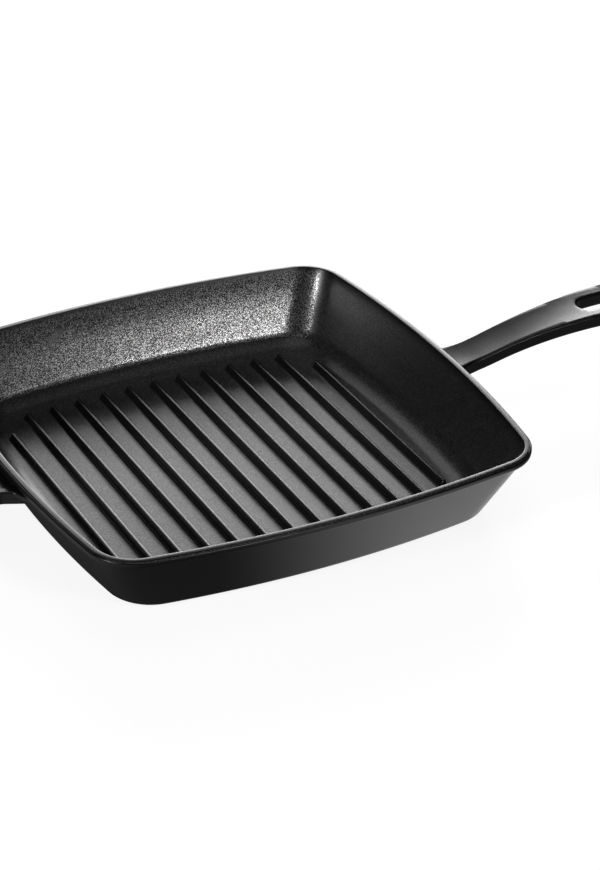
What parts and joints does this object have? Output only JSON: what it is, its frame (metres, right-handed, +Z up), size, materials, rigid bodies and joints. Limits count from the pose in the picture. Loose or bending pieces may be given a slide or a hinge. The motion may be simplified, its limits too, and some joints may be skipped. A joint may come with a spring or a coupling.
{
  "type": "grill pan",
  "caption": "Square black enamelled cast-iron grill pan with raised ribs on its floor, a long slotted handle and a short helper handle opposite.",
  "frame": {"origin": "middle of the flat underside that the pan stands on", "axes": "+X out along the long handle, +Z up out of the open pan, +Y to the side"},
  "size_m": [0.53, 0.3, 0.0554],
  "materials": {
    "enamel_body": "matt black enamel with a fine grain",
    "enamel_ribs": "matt black enamel, smoother on the rib crests",
    "enamel_handle": "satin black enamel"
  },
  "bodies": {
    "root": {"rim": "enamel_body", "side_wall": "enamel_body", "wall_foot": "enamel_body", "pan_floor": "enamel_body", "long_handle": "enamel_handle", "helper_handle": "enamel_handle", "grill_rib_01": "enamel_ribs", "grill_rib_02": "enamel_ribs", "grill_rib_03": "enamel_ribs", "grill_rib_04": "enamel_ribs", "grill_rib_05": "enamel_ribs", "grill_rib_06": "enamel_ribs", "grill_rib_07": "enamel_ribs", "grill_rib_08": "enamel_ribs", "grill_rib_09": "enamel_ribs", "grill_rib_10": "enamel_ribs", "grill_rib_11": "enamel_ribs", "grill_rib_12": "enamel_ribs", "grill_rib_13": "enamel_ribs"}
  },
  "joints": []
}
